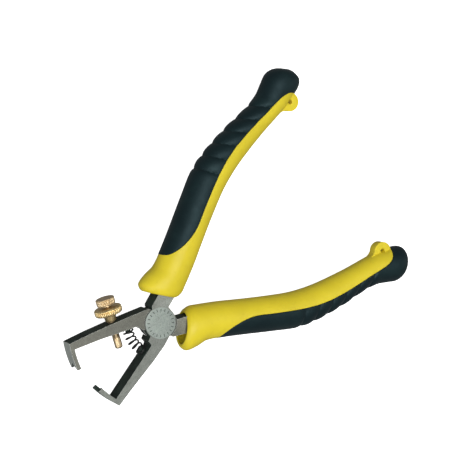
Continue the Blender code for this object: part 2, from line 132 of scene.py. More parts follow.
# The line where the cover meets the sleeve, seen from the side, in millimetres
PARTING_EDGE = np.array((
    (23.8, 15.0), (25.2, 11.8), (27.0, 10.1), (31.0, 8.0), (36.0, 6.4), (41.5, 5.75),
    (50.0, 6.6), (60.0, 7.4), (68.0, 7.6), (76.0, 6.95), (83.0, 5.4), (91.0, 3.1),
    (97.5, 0.9), (103.0, -0.8), (107.5, -2.6), (110.5, -5.3), (112.3, -10.0),
))
SHELL = 2.0                         # thickness of the two mouldings
COVER_PROUD = 0.10                  # the cover stands this far out of the sleeve
RIB_FIRST_X = 63.2
RIB_PITCH = 7.2
RIB_COUNT = 6
RIB_DEPTH = 0.85
RIB_BOW = 1.3                       # the grooves bow this far towards the handle's end
LOOP_CENTRE = (107.6, -7.9)
LOOP_RADIUS = 4.0
LOOP_HOLE_RADIUS = 1.05
LOOP_HALF_THICKNESS = 2.3
FILLING_X = (17.2, 17.3, 20.0, 30.0, 45.0, 60.0, 75.0, 90.0, 104.0)
FILLING_INSET = 1.9                 # under the sleeve's outside

# Camera
CAMERA_POSITION = (-126.494 * MM, 197.271 * MM, 564.778 * MM)
CAMERA_TARGET = (48.573 * MM, 8.104 * MM, 4.3 * MM)
CAMERA_UP = (0.57339, 0.81928, 0.0)
CAMERA_LENS = 112.9


# Frames of the levers and of what sits on them

def lever_frame(side):
    return Matrix.Translation((0.0, 0.0, MID_Z)) @ Matrix.Rotation(side * HALF_OPENING, 4, "Z")


def screw_frame():
    """Z outwards along the adjusting screw, in the rear lever's arm."""
    outward = Vector((-math.sin(SCREW_LEAN), math.cos(SCREW_LEAN), 0.0))
    along = Vector((0.0, 0.0, 1.0))
    place = Matrix((along.cross(outward), along, outward)).transposed().to_4x4()
    place.translation = (SCREW_POINT[0], -SCREW_POINT[1], 0.0)
    return lever_frame(-1) @ place


# Materials

def new_material(name, colour, roughness, metallic):
    material = bpy.data.materials.new(name)
    material.use_nodes = True
    shader = material.node_tree.nodes["Principled BSDF"]
    shader.inputs["Base Color"].default_value = (*colour, 1.0)
    shader.inputs["Roughness"].default_value = roughness
    shader.inputs["Metallic"].default_value = metallic
    return material, material.node_tree, shader


def own_coordinates(tree, stretch=(1.0, 1.0, 1.0), turn=0.0):
    """The object's own coordinates, stretched, after a turn about Z."""
    coordinates = tree.nodes.new("ShaderNodeTexCoord")
    mapping = tree.nodes.new("ShaderNodeMapping")
    mapping.vector_type = "TEXTURE"
    mapping.inputs["Rotation"].default_value = (0.0, 0.0, turn)
    mapping.inputs["Scale"].default_value = stretch
    tree.links.new(coordinates.outputs["Object"], mapping.inputs["Vector"])
    return mapping.outputs["Vector"]


def noise(tree, vector, scale, detail=3.0, roughness=0.55):
    texture = tree.nodes.new("ShaderNodeTexNoise")
    texture.inputs["Scale"].default_value = scale
    texture.inputs["Detail"].default_value = detail
    texture.inputs["Roughness"].default_value = roughness
    tree.links.new(vector, texture.inputs["Vector"])
    return texture.outputs["Fac"]


def ramp(tree, value, stops):
    """A colour ramp with stops of (place, colour)."""
    node = tree.nodes.new("ShaderNodeValToRGB")
    band = node.color_ramp
    while len(band.elements) < len(stops):
        band.elements.new(0.5)
    for element, (place, colour) in zip(band.elements, stops):
        element.position = place
        element.color = (*colour, 1.0)
    tree.links.new(value, node.inputs["Fac"])
    return node.outputs["Color"]


def spread(tree, value, low, high, span=(0.3, 0.7)):
    """The value's span mapped to low..high."""
    node = tree.nodes.new("ShaderNodeMapRange")
    node.inputs["From Min"].default_value = span[0]
    node.inputs["From Max"].default_value = span[1]
    node.inputs["To Min"].default_value = low
    node.inputs["To Max"].default_value = high
    tree.links.new(value, node.inputs["Value"])
    return node.outputs["Result"]


def blend_colours(tree, share, first, second, mode="MIX"):
    node = tree.nodes.new("ShaderNodeMix")
    node.data_type = "RGBA"
    node.blend_type = mode
    for name, source in (("Factor", share), ("A", first), ("B", second)):
        socket = node.inputs[name]
        if isinstance(source, (int, float)):
            socket.default_value = source
        elif isinstance(source, tuple):
            socket.default_value = (*source, 1.0)
        else:
            tree.links.new(source, socket)
    return node.outputs["Result"]


def bump(tree, shader, height, strength, distance, under=None):
    """Fine relief from a height, over another bump's normal if under is given."""
    node = tree.nodes.new("ShaderNodeBump")
    node.inputs["Strength"].default_value = strength
    node.inputs["Distance"].default_value = distance
    tree.links.new(height, node.inputs["Height"])
    if under is not None:
        tree.links.new(under, node.inputs["Normal"])
    tree.links.new(node.outputs["Normal"], shader.inputs["Normal"])
    return node.outputs["Normal"]


def shade(colour, factor):
    return tuple(min(1.0, channel * factor) for channel in colour)


def grey(value):
    return (value, value, value)


def lighter_towards_handles(tree, place, colour, factor):
    """The colour, brighter by the factor from the rivet's disc towards the handles."""
    parts = tree.nodes.new("ShaderNodeSeparateXYZ")
    tree.links.new(place, parts.inputs["Vector"])
    neck = spread(tree, parts.outputs["X"], 0.0, 1.0, (2.0 * MM, 7.0 * MM))
    handle_side_tone = ramp(tree, neck, [(0.0, grey(1.0)), (1.0, grey(factor))])
    return blend_colours(tree, 1.0, colour, handle_side_tone, "MULTIPLY")


def ground_steel(name, colour, roughness, grain_turn, metallic=0.85, bright_neck=1.0):
    """Ground face: grain along the arm, mottling and stains. bright_neck lightens the neck."""
    material, tree, shader = new_material(name, colour, roughness, metallic)
    plain = own_coordinates(tree)
    grain = noise(tree, own_coordinates(tree, (12.0, 1.0, 1.0), grain_turn), 5200.0, 4.0, 0.7)
    speckle = noise(tree, plain, 2600.0, 3.0, 0.6)
    cloud = noise(tree, plain, 210.0, 4.0, 0.6)
    tones = [(0.30, shade(colour, 0.88)), (0.55, colour), (0.75, shade(colour, 1.10))]
    toned = ramp(tree, cloud, tones)
    specks = ramp(tree, speckle, [(0.32, grey(0.72)), (0.50, grey(1.0)), (0.72, grey(1.14))])
    lined = ramp(tree, grain, [(0.30, grey(0.84)), (0.60, grey(1.06))])
    mixed = blend_colours(tree, 1.0, toned, specks, "MULTIPLY")
    mixed = blend_colours(tree, 0.8, mixed, lined, "MULTIPLY")
    if bright_neck != 1.0:
        # The ground face is made lighter from the rivet's disc towards the handles.
        mixed = lighter_towards_handles(tree, plain, mixed, bright_neck)
    tree.links.new(mixed, shader.inputs["Base Color"])
    gloss = spread(tree, speckle, roughness - 0.07, roughness + 0.10)
    tree.links.new(gloss, shader.inputs["Roughness"])
    first = bump(tree, shader, grain, 0.25, 0.03 * MM)
    bump(tree, shader, speckle, 0.30, 0.05 * MM, first)
    return material


def dark_steel(name):
    """Side wall of a forging: near-black with a slight green cast."""
    colour = (0.018, 0.029, 0.023)
    material, tree, shader = new_material(name, colour, 0.6, 0.0)
    shader.inputs["Specular IOR Level"].default_value = 0.25
    plain = own_coordinates(tree)
    scale = noise(tree, plain, 900.0, 5.0, 0.65)
    cloud = noise(tree, plain, 160.0, 3.0)
    toned = ramp(tree, cloud, [(0.3, shade(colour, 0.6)), (0.7, shade(colour, 1.9))])
    tree.links.new(toned, shader.inputs["Base Color"])
    tree.links.new(spread(tree, scale, 0.62, 0.80), shader.inputs["Roughness"])
    bump(tree, shader, scale, 0.5, 0.10 * MM)
    return material


def turned_brass(name, colour, dark):
    """Brass with a dull film, its tone darker and lighter in random patches."""
    material, tree, shader = new_material(name, colour, 0.34, 0.92)
    plain = own_coordinates(tree)
    cloud = noise(tree, plain, 420.0, 4.0, 0.6)
    fine = noise(tree, plain, 3800.0, 3.0, 0.6)
    toned = ramp(tree, cloud, [(0.28, dark), (0.52, colour), (0.78, shade(colour, 1.12))])
    tree.links.new(toned, shader.inputs["Base Color"])
    tree.links.new(spread(tree, fine, 0.26, 0.46), shader.inputs["Roughness"])
    bump(tree, shader, fine, 0.25, 0.04 * MM)
    return material


def black_wire(name):
    """Oiled black spring wire, a little uneven."""
    colour = (0.012, 0.013, 0.013)
    material, tree, shader = new_material(name, colour, 0.35, 0.4)
    fine = noise(tree, own_coordinates(tree), 2400.0, 3.0)
    toned = ramp(tree, fine, [(0.3, shade(colour, 0.6)), (0.7, shade(colour, 2.2))])
    tree.links.new(toned, shader.inputs["Base Color"])
    tree.links.new(spread(tree, fine, 0.28, 0.5), shader.inputs["Roughness"])
    bump(tree, shader, fine, 0.2, 0.03 * MM)
    return material


def yellow_plastic(name):
    """Moulded plastic: spark-eroded grain, faint flow clouds and a little grime."""
    colour = (0.77, 0.625, 0.028)
    material, tree, shader = new_material(name, colour, 0.42, 0.0)
    shader.inputs["Specular IOR Level"].default_value = 0.35
    plain = own_coordinates(tree)
    cloud = noise(tree, plain, 70.0, 4.0, 0.6)
    grain = noise(tree, plain, 3000.0, 3.0, 0.6)
    grime = noise(tree, plain, 340.0, 6.0, 0.7)
    tones = [(0.30, (0.71, 0.575, 0.026)), (0.55, colour), (0.75, (0.81, 0.665, 0.032))]
    toned = ramp(tree, cloud, tones)
    stained = ramp(tree, grime, [(0.22, (0.86, 0.84, 0.78)), (0.42, grey(1.0))])
    mixed = blend_colours(tree, 0.8, toned, stained, "MULTIPLY")
    tree.links.new(mixed, shader.inputs["Base Color"])
    tree.links.new(spread(tree, grime, 0.50, 0.36), shader.inputs["Roughness"])
    shader.inputs["Subsurface Weight"].default_value = 0.06
    shader.inputs["Subsurface Scale"].default_value = 0.6 * MM
    shader.inputs["Subsurface Radius"].default_value = (1.0, 0.7, 0.2)
    bump(tree, shader, grain, 0.22, 0.05 * MM)
    return material


def black_rubber(name):
    """Soft-touch cover: blue-black, satin where hands rub it, with a fine matt grain."""
    colour = (0.0045, 0.0125, 0.0145)
    material, tree, shader = new_material(name, colour, 0.5, 0.0)
    shader.inputs["Specular IOR Level"].default_value = 0.30
    shader.inputs["Specular Tint"].default_value = (0.62, 0.92, 1.0, 1.0)
    plain = own_coordinates(tree)
    cloud = noise(tree, plain, 90.0, 5.0, 0.65)
    grain = noise(tree, plain, 2600.0, 4.0, 0.65)
    rub = noise(tree, plain, 260.0, 4.0, 0.6)
    tones = [(0.3, (0.003, 0.009, 0.011)), (0.52, colour), (0.75, (0.008, 0.021, 0.022))]
    toned = ramp(tree, cloud, tones)
    tree.links.new(toned, shader.inputs["Base Color"])
    tree.links.new(spread(tree, rub, 0.44, 0.58), shader.inputs["Roughness"])
    shader.inputs["Sheen Weight"].default_value = 0.04
    shader.inputs["Sheen Roughness"].default_value = 0.5
    shader.inputs["Sheen Tint"].default_value = (0.55, 0.72, 0.80, 1.0)
    bump(tree, shader, grain, 0.35, 0.06 * MM)
    return material


def floor_paper(name):
    """Near-white paper that glows a little, so that the ground stays pale."""
    material, tree, shader = new_material(name, (0.9, 0.9, 0.9), 0.9, 0.0)
    fine = noise(tree, own_coordinates(tree), 60.0, 3.0)
    toned = ramp(tree, fine, [(0.3, grey(0.89)), (0.7, grey(0.91))])
    tree.links.new(toned, shader.inputs["Base Color"])
    shader.inputs["Emission Color"].default_value = (1.0, 1.0, 1.0, 1.0)
    shader.inputs["Emission Strength"].default_value = 0.9
    return material


# Meshes and pieces

def add_object(name, data):
    piece = bpy.data.objects.new(name, data)
    bpy.context.scene.collection.objects.link(piece)
    return piece


def add_piece(name, mesh, place):
    """A piece drawn in the frame of place, moved into the part's own frame."""
    mesh.transform(place)
    return add_object(name, mesh)


def smooth(mesh, angle=35.0):
    mesh.shade_smooth()
    mesh.set_sharp_from_angle(angle=math.radians(angle))


def closed_mesh(name, points, faces):
    """A mesh from points and faces, welded, with its faces turned outwards."""
    weld = 1e-7
    work = bmesh.new()
    verts = [work.verts.new(point) for point in points]
    for face in faces:
        corners = [verts[i] for i in face]
        work.faces.new(corners)
    bmesh.ops.remove_doubles(work, verts=work.verts, dist=weld)
    bmesh.ops.dissolve_degenerate(work, edges=work.edges, dist=weld)
    bmesh.ops.recalc_face_normals(work, faces=work.faces)
    mesh = bpy.data.meshes.new(name)
    work.to_mesh(mesh)
    work.free()
    smooth(mesh)
    return mesh


def turned_mesh(name, profile, steps):
    """Closed solid: a profile of (radius, height) from pole to pole, turned about Z."""
    angles = np.linspace(0.0, 2 * math.pi, steps, endpoint=False)
    points = [(r * math.cos(a), r * math.sin(a), z) for r, z in profile for a in angles]
    return closed_mesh(name, points, tube_faces(len(profile), steps))


def tube_faces(rows, columns):
    """Faces of rows of points, each a closed ring, one after the other."""
    faces = []
    for i in range(rows - 1):
        for j in range(columns):
            k = (j + 1) % columns
            a, b = i * columns, (i + 1) * columns
            faces.append((a + j, a + k, b + k, b + j))
    return faces


def joined(name, *meshes):
    """One mesh with the given ones side by side."""
    work = bmesh.new()
    for mesh in meshes:
        work.from_mesh(mesh)
    mesh = bpy.data.meshes.new(name)
    work.to_mesh(mesh)
    work.free()
    smooth(mesh)
    return mesh


def with_materials(piece, *materials):
    """The piece with these materials instead of its own, keeping each face's index."""
    if piece.data.materials:
        piece.data.materials.clear()
    for material in materials:
        piece.data.materials.append(material)
    return piece


def applied(piece):
    """The piece with its modifiers made part of its mesh."""
    depsgraph = bpy.context.evaluated_depsgraph_get()
    mesh = bpy.data.meshes.new_from_object(piece.evaluated_get(depsgraph))
    piece.modifiers.clear()
    piece.data = mesh
    return piece


def bevelled(piece, width, segments, angle, material=-1):
    """Edges sharper than the angle rounded off, in the material slot if one is given."""
    bevel = piece.modifiers.new("edges", "BEVEL")
    bevel.width = width
    bevel.segments = segments
    bevel.limit_method = "ANGLE"
    bevel.angle_limit = math.radians(angle)
    bevel.material = material
    return applied(piece)


def flat_faced(piece):
    """Shading that stays flat across the broad faces and turns only over the small ones."""
    weigh = piece.modifiers.new("shading", "WEIGHTED_NORMAL")
    weigh.mode = "FACE_AREA"
    weigh.keep_sharp = True
    return applied(piece)


def settle(piece, body, slot_name, *nodes):
    """The piece moves with the body and stands in for the nodes; slot_name is not used."""
    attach(piece, body)
    if nodes:
        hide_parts(*nodes)
    return piece


# Steel levers

def steel_zone(face):
    """Material index of a lever's face: 0 ground, 1 dark wall, 3 a hook's curved wall. The
    broken edges take 2."""
    centre = face.calc_center_median()
    from_pivot = math.hypot(centre.x, centre.y)
    if abs(face.normal.z) > 0.9:
        return 0
    # A hook's walls facing along the radius take slot 3, a grey painted lighter for the light
    # they catch.
    if from_pivot > HOOK_INNER_RADIUS and abs(face.normal.z) < 0.1:
        radial = abs(face.normal.x * centre.x + face.normal.y * centre.y) / from_pivot
        return 3 if radial > 0.8 else 1
    return 1


def finished_lever(node, ground, dark, edge, hook, edge_width):
    """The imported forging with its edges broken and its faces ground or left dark."""
    work = bmesh.new()
    work.from_mesh(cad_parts[node].data)
    bmesh.ops.remove_doubles(work, verts=work.verts, dist=2e-6)
    flat = math.radians(0.6)
    bmesh.ops.dissolve_limit(work, angle_limit=flat, verts=work.verts, edges=work.edges)
    for face in work.faces:
        face.material_index = steel_zone(face)
    mesh = bpy.data.meshes.new(node)
    work.to_mesh(mesh)
    work.free()
    smooth(mesh)
    lever = add_object(f"{node}_forging", mesh)
    with_materials(lever, ground, dark, edge, hook)
    bevelled(lever, edge_width, 2, 40.0, 2)
    smooth(lever.data, 60.0)
    flat_faced(lever)
    return settle(lever, node, "lever_steel", node)


def rivet_disc(name, steel):
    """The rivet: a broad thin head over the front of the joint, and a small one at the back."""
    neck, head, edge = 2.78 * MM, BACK_HEAD_RADIUS, 0.10 * MM
    front = FLAT_HALF + PLATE_PROUD
    under = FLAT_HALF - 0.25 * MM
    back = -FLAT_HALF - 0.03 * MM
    profile = [
        (0.0, front),
        (PLATE_RADIUS - edge * 2, front),
        (PLATE_RADIUS - edge * 0.6, front - edge * 0.3),
        (PLATE_RADIUS, front - edge),
        (PLATE_RADIUS, under),
        (neck, under),
        (neck, back + 1.2 * MM),
        (head, back + edge),
        (head - edge * 0.6, back + edge * 0.3),
        (head - edge * 2, back),
        (0.0, back),
    ]
    place = Matrix.Translation((0.0, 0.0, MID_Z))
    disc = add_piece(name, turned_mesh(name, profile, 72), place)
    return flat_faced(with_materials(disc, steel))


def plate_marks(name, dark):
    """A plain ring of short dark strokes, thin plates let into the rivet's broad head."""
    work = bmesh.new()
    for i in range(MARK_COUNT):
        turn = Matrix.Rotation(2 * math.pi * i / MARK_COUNT, 4, "Z")
        place = Matrix.Translation((MARK_RING_RADIUS, 0.0, MID_Z + FLAT_HALF + PLATE_PROUD))
        size = Matrix.Diagonal((MARK_LENGTH, MARK_WIDTH, 0.02 * MM, 1.0))
        bmesh.ops.create_cube(work, size=1.0, matrix=turn @ place @ size)
    mesh = bpy.data.meshes.new(name)
    work.to_mesh(mesh)
    work.free()
    return with_materials(add_object(name, mesh), dark)


# Brass parts

def triangle_wave(value):
    """1 on whole numbers, 0 halfway between."""
    return np.abs((value % 1.0) * 2.0 - 1.0)


def knurl(angle, height, teeth, pitch, depth):
    """Depth of a diamond knurl's two sets of crossing grooves."""
    turns = angle / (2 * math.pi) * teeth
    first = np.clip(triangle_wave(turns + height / pitch) * 2.4 - 1.4, 0.0, 1.0)
    second = np.clip(triangle_wave(turns - height / pitch) * 2.4 - 1.4, 0.0, 1.0)
    return depth * np.maximum(first, second)


def knurled_part(name, profile, teeth, pitch, depth, grip_radius, columns):
    """Turned part, knurled beyond grip_radius. Its profile runs from pole to pole, or is a
    closed loop round a bore."""
    angles = np.linspace(0.0, 2 * math.pi, columns, endpoint=False)
    points = []
    for radius, height in profile:
        share = np.clip((radius - grip_radius) / (0.25 * MM), 0.0, 1.0)
        radii = radius - share * knurl(angles, height, teeth, pitch, depth)
        points += [(r * math.cos(a), r * math.sin(a), height) for r, a in zip(radii, angles)]
    faces = tube_faces(len(profile), columns)
    bored = profile[0][0] > 0.0
    if bored:
        last = (len(profile) - 1) * columns
        for j in range(columns):
            k = (j + 1) % columns
            faces.append((last + j, last + k, k, j))
    return closed_mesh(name, points, faces)


def rounded_rim(radius, low, high, edge, rows):
    """Profile points down a rim from high to low, with rounded corners."""
    quarter = np.linspace(0.0, math.pi / 2, 5)
    corner = [(radius - edge + edge * math.sin(a), -edge + edge * math.cos(a)) for a in quarter]
    down = [(r, high + z) for r, z in corner]
    straight = [(radius, z) for z in np.linspace(high - edge, low + edge, rows)[1:-1]]
    up = [(r, low - z) for r, z in reversed(corner)]
    return down + straight + up


def screw_head():
    """Knurled head, undercut where it meets the shank."""
    step = HEAD_BOTTOM + HEAD_UNDERCUT
    profile = [(0.0, HEAD_TOP)]
    profile += [(r * MM, HEAD_TOP) for r in (0.8, 1.6, 2.4, 3.0)]
    profile += rounded_rim(HEAD_RADIUS, step, HEAD_TOP, 0.40 * MM, 30)
    profile += [(HEAD_NECK_RADIUS, step), (HEAD_NECK_RADIUS, HEAD_BOTTOM), (0.0, HEAD_BOTTOM)]
    return knurled_part(
        "head", profile, teeth=26, pitch=2.0 * MM, depth=0.28 * MM,
        grip_radius=HEAD_RADIUS - 0.4 * MM, columns=200,
    )


def screw_shank():
    """Threaded shank that ends plain and rounded."""
    columns, steps_per_turn = 40, 6
    top = HEAD_BOTTOM + 0.2 * MM
    rows = int((top - THREAD_END) / (THREAD_PITCH / steps_per_turn))
    heights = np.linspace(top, THREAD_END, rows)
    angles = np.linspace(0.0, 2 * math.pi, columns, endpoint=False)
    points = [(0.0, 0.0, heights[0])] * columns
    for height in heights:
        cut = triangle_wave(height / THREAD_PITCH - angles / (2 * math.pi)) * THREAD_DEPTH
        cut = cut * min(1.0, (height - THREAD_END) / (0.6 * MM))
        for a, radius in zip(angles, SHANK_RADIUS - cut):
            points.append((radius * math.cos(a), radius * math.sin(a), height))
    round_end = 0.9 * MM
    tip = [
        (SHANK_RADIUS * math.cos(a) ** 0.6, SHANK_END + round_end - round_end * math.sin(a))
        for a in np.linspace(0.0, math.pi / 2 - 1e-4, 8)
    ]
    tip.append((0.0, SHANK_END))
    for radius, height in tip:
        points += [(radius * math.cos(a), radius * math.sin(a), height) for a in angles]
    return closed_mesh("shank", points, tube_faces(1 + rows + len(tip), columns))


def nut_mesh(name):
    """Knurled flange with a rounded rim on a tapered neck, bored right through."""
    bore = SHANK_RADIUS + 0.06 * MM
    profile = [(bore, NUT_TOP - 0.2 * MM), (bore + 0.25 * MM, NUT_TOP)]
    profile.append((NUT_RADIUS - 1.6 * MM, NUT_TOP))
    profile += rounded_rim(NUT_RADIUS, NUT_FLANGE_BOTTOM, NUT_TOP, 0.95 * MM, 16)
    profile += [
        (NUT_NECK_RADIUS + 0.5 * MM, NUT_FLANGE_BOTTOM),
        (NUT_NECK_RADIUS + 0.12 * MM, NUT_FLANGE_BOTTOM - 0.12 * MM),
        (NUT_NECK_RADIUS, NUT_FLANGE_BOTTOM - 0.5 * MM),
        (NUT_FOOT_RADIUS, NUT_BOTTOM + 0.15 * MM),
        (NUT_FOOT_RADIUS - 0.15 * MM, NUT_BOTTOM),
        (bore, NUT_BOTTOM),
    ]
    return knurled_part(
        name, profile, teeth=34, pitch=2.6 * MM, depth=0.34 * MM,
        grip_radius=NUT_RADIUS - 0.7 * MM, columns=240,
    )


# Spring

def spring_centre(share):
    """A point of the arc round the pivot, and the direction out to it from the pivot."""
    half_sweep = math.radians(SPRING_END_DEG) - (math.pi - HALF_OPENING)
    around = math.pi + half_sweep * (2 * share - 1)
    outward = Vector((math.cos(around), math.sin(around), 0.0))
    return outward * SPRING_ARC_RADIUS, outward


def spring_mesh(name):
    """Round wire in open coils, with half a turn closed up at each peg."""
    steps_per_turn, sides = 32, 12
    up = Vector((0.0, 0.0, 1.0))
    steps = int((SPRING_TURNS + 1) * steps_per_turn)
    centres = []
    for i in range(steps + 1):
        turned = i / steps_per_turn
        share = np.clip((turned - 0.5) / SPRING_TURNS, 0.0, 1.0)
        share = 0.03 + 0.94 * (0.94 * share + 0.06 * turned / (SPRING_TURNS + 1))
        middle, outward = spring_centre(share)
        angle = -2 * math.pi * turned
        offset = outward * math.cos(angle) + up * math.sin(angle)
        centres.append(middle + offset * SPRING_COIL_RADIUS)
    points = []
    for i, centre in enumerate(centres):
        along = (centres[min(i + 1, steps)] - centres[max(i - 1, 0)]).normalized()
        middle = spring_centre(i / steps)[0]
        across = along.cross((centre - middle).normalized()).normalized()
        outer = across.cross(along)
        for j in range(sides):
            a = 2 * math.pi * j / sides
            spoke = outer * math.cos(a) + across * math.sin(a)
            points.append(centre + spoke * SPRING_WIRE_RADIUS)
    faces = tube_faces(steps + 1, sides)
    faces += [tuple(range(sides)), tuple(range(steps * sides, (steps + 1) * sides))]
    return closed_mesh(name, points, faces)


# Grips

def smooth_row(rows, x):
    """The row at x, on a smooth curve through rows that start with their own x."""
    i = int(np.clip(np.searchsorted(rows[:, 0], x) - 1, 0, len(rows) - 2))
    before, start = rows[max(i - 1, 0)], rows[i]
    end, after = rows[i + 1], rows[min(i + 2, len(rows) - 1)]
    span = end[0] - start[0]
    slope_in = (end - before) / (end[0] - before[0]) * span
    slope_out = (after - start) / (after[0] - start[0]) * span
    t = (x - start[0]) / span
    row = (2 * t**3 - 3 * t**2 + 1) * start + (t**3 - 2 * t**2 + t) * slope_in
    row = row + (3 * t**2 - 2 * t**3) * end + (t**3 - t**2) * slope_out
    row[0] = x
    return row


def station_at(x):
    """The grip's section at x millimetres."""
    return smooth_row(GRIP_STATIONS, x)


def parting_at(x):
    """Height y of the parting edge at x millimetres, steep beyond both of its ends."""
    first, last = PARTING_EDGE[0], PARTING_EDGE[-1]
    if x <= first[0]:
        return first[1] + 40.0 * (first[0] - x)
    if x >= last[0]:
        return last[1] - 40.0 * (x - last[0])
    return smooth_row(PARTING_EDGE, x)[1]


def parting_angle(x):
    """Half the angle that the cover takes of the section at x: 0 none, pi all of it."""
    station = station_at(x)
    lean = math.radians(station[4])

    def above(across):
        return station[1] + across * math.cos(lean) - parting_at(x - across * math.sin(lean))

    low, high = -station[2], station[2]
    if above(low) >= 0.0:
        return math.pi
    if above(high) <= 0.0:
        return 0.0
    for _ in range(40):
        middle = (low + high) / 2
        if above(middle) > 0.0:
            high = middle
        else:
            low = middle
    return math.acos(max(-1.0, min(1.0, low / station[2])))


def crossing(start, end, reached):
    """The x between start and end at which the cover's angle first counts as reached."""
    low, high = start, end
    for _ in range(40):
        middle = (low + high) / 2
        if reached(parting_angle(middle)):
            high = middle
        else:
            low = middle
    return high


COVER_START = crossing(20.0, 32.0, lambda angle: angle > 0.0)
COVER_WHOLE = crossing(104.0, 114.0, lambda angle: angle >= math.pi)


def rib_depth(x, angle):
    """Depth of the finger grooves: scallops with a sharp valley, bowed towards the end."""
    bowed = x - RIB_BOW * (1.0 - math.cos(angle))
    along = (bowed - RIB_FIRST_X) / RIB_PITCH
    if along < -0.5 or along > RIB_COUNT - 0.5:
        return 0.0
    fade_ends = min(1.0, (along + 0.5) * 2.0, (RIB_COUNT - 0.5 - along) * 2.0)
    valley = 1.0 - abs(math.sin(math.pi * along)) ** 0.55
    side = max(0.0, min(1.0, (math.cos(angle) + 0.25) / 0.35))
    return RIB_DEPTH * fade_ends * valley * side * side * (3.0 - 2.0 * side)


def grip_point(x, angle, inset, side):
    """A point of the section at x. Angle 0 is the handle's outer side."""
    station = station_at(x)
    lean = math.radians(station[4])
    across = (station[2] - inset) * math.cos(angle)
    height = (station[3] - inset) * math.sin(angle)
    return (
        (station[0] - across * math.sin(lean)) * MM,
        (station[1] + across * math.cos(lean)) * side * MM,
        height * MM,
    )


def edge_columns(length, count):
    """Distances from one edge to the other, closer together near both edges."""
    near = [0.0, 0.05, 0.12, 0.22, 0.36, 0.6, 1.0]
    shrink = min(1.0, length / 4.0)
    near = [d * shrink for d in near]
    middle = np.linspace(near[-1], length - near[-1], count - 2 * len(near) + 2)[1:-1]
    return np.array(near + list(middle) + [length - d for d in reversed(near)])


def rounding(distance, radius):
    """How far a rounded edge has dropped at this distance from it."""
    if radius <= 0.0 or distance >= radius:
        return 0.0
    return radius - math.sqrt(radius * radius - (radius - distance) ** 2)


def shell_rows(places, side, edge_angles, inset_outside, edge_radius, columns):
    """Rows of a moulding at each place, between the two angles that edge_angles(x) gives.
    inset_outside(x, angle) is its depth, and edge_radius rounds off its two edges."""
    rows = []
    for x in places:
        station = station_at(x)
        begin, end = edge_angles(x)
        radius = (station[2] + station[3]) / 2
        length = max((end - begin) * radius, 1e-6)
        whole = abs(end - begin) >= 2 * math.pi - 1e-6
        row = []
        for d in edge_columns(length, columns):
            angle = begin + (end - begin) * d / length
            drop = 0.0 if whole else rounding(min(d, length - d), min(edge_radius, length / 3))
            row.append(grip_point(x, angle, inset_outside(x, angle) + drop, side))
        rows.append(row)
    return rows


def shell_mesh(name, outer, inner, open_rows, rim=()):
    """Closed body between matching outer and inner rows. open_rows says of each row whether
    its two edges are apart. The rim's rows join outer to inner at the first row."""
    columns = len(outer[0])
    count = len(outer)
    points = [point for row in outer + inner for point in row]
    faces = []
    for i in range(count - 1):
        for j in range(columns - 1):
            a, b = i * columns + j, (i + 1) * columns + j
            faces.append((a, a + 1, b + 1, b))
            a, b = a + count * columns, b + count * columns
            faces.append((b, b + 1, a + 1, a))
        if open_rows[i] or open_rows[i + 1]:
            for j in (0, columns - 1):
                a, b = i * columns + j, (i + 1) * columns + j
                faces.append((a, b, b + count * columns, a + count * columns))
    if rim:
        rim_starts = [len(points) + k * columns for k in range(len(rim))]
        points += [point for row in rim for point in row]
        chain = [0] + rim_starts + [count * columns]
        for a, b in zip(chain, chain[1:]):
            for j in range(columns - 1):
                faces.append((a + j, a + j + 1, b + j + 1, b + j))
    return closed_mesh(name, points, faces)


def crowded(start, end, step, near=0.03):
    """Places from start to end, crowded towards start, then a step apart."""
    places, gap, x = [start], near, start
    while x + gap < end:
        x += gap
        places.append(x)
        gap = min(gap * 1.6, step)
    return places


def crowded_up_to(end, start, step):
    """Places from start to end, a step apart at first and crowded towards end."""
    return sorted(2 * end - x for x in crowded(end, 2 * end - start, step))


def cover_places():
    """Sections of the cover: closest at its two edges, fine along the ribs."""
    before_ribs = RIB_FIRST_X - 4.0
    after_ribs = RIB_FIRST_X + RIB_COUNT * RIB_PITCH
    places = crowded(COVER_START, before_ribs, 1.2)
    places += list(np.arange(before_ribs, after_ribs, 0.36))
    places += crowded_up_to(COVER_WHOLE, after_ribs, 0.6)
    places += list(np.arange(COVER_WHOLE + 0.3, 118.9, 0.35))
    return places + [118.95, GRIP_STATIONS[-1, 0]]


def cover_tip(side, columns):
    """Rows that round off the end of the cover, beyond the last station."""
    x, y, half_width, half_height, lean = GRIP_STATIONS[-1]
    sine = math.sin(math.radians(lean))
    rows = []
    for share, ahead in ((0.72, 0.30), (0.4, 0.45), (0.0, 0.5)):
        row = []
        for a in np.linspace(-math.pi, math.pi, columns):
            across = half_width * share * math.cos(a)
            up = half_height * share * math.sin(a)
            row.append(((x + ahead - across * sine) * MM, (y + across) * side * MM, up * MM))
        rows.append(row)
    return rows


def cover_mesh(name, side):
    """Soft cover: a shell with a rounded edge that closes over the whole of the end."""
    places = cover_places()

    def edge_angles(x):
        half = parting_angle(x)
        return -half, half

    def outside(x, angle):
        return rib_depth(x, angle) - COVER_PROUD

    def inside(x, angle):
        return min(SHELL, station_at(x)[2] * 0.8)

    columns = 72
    outer = shell_rows(places, side, edge_angles, outside, 0.42, columns)
    inner = shell_rows(places, side, edge_angles, inside, 0.0, columns)
    open_rows = [parting_angle(x) < math.pi for x in places]
    tip = cover_tip(side, columns)
    half_width = GRIP_STATIONS[-1, 2]
    hollow_pole = [grip_point(places[-1], 0.0, half_width, side)] * columns
    outer += tip
    inner += [inner[-1], inner[-1], hollow_pole]
    open_rows += [False] * len(tip)
    return shell_mesh(name, outer, inner, open_rows)


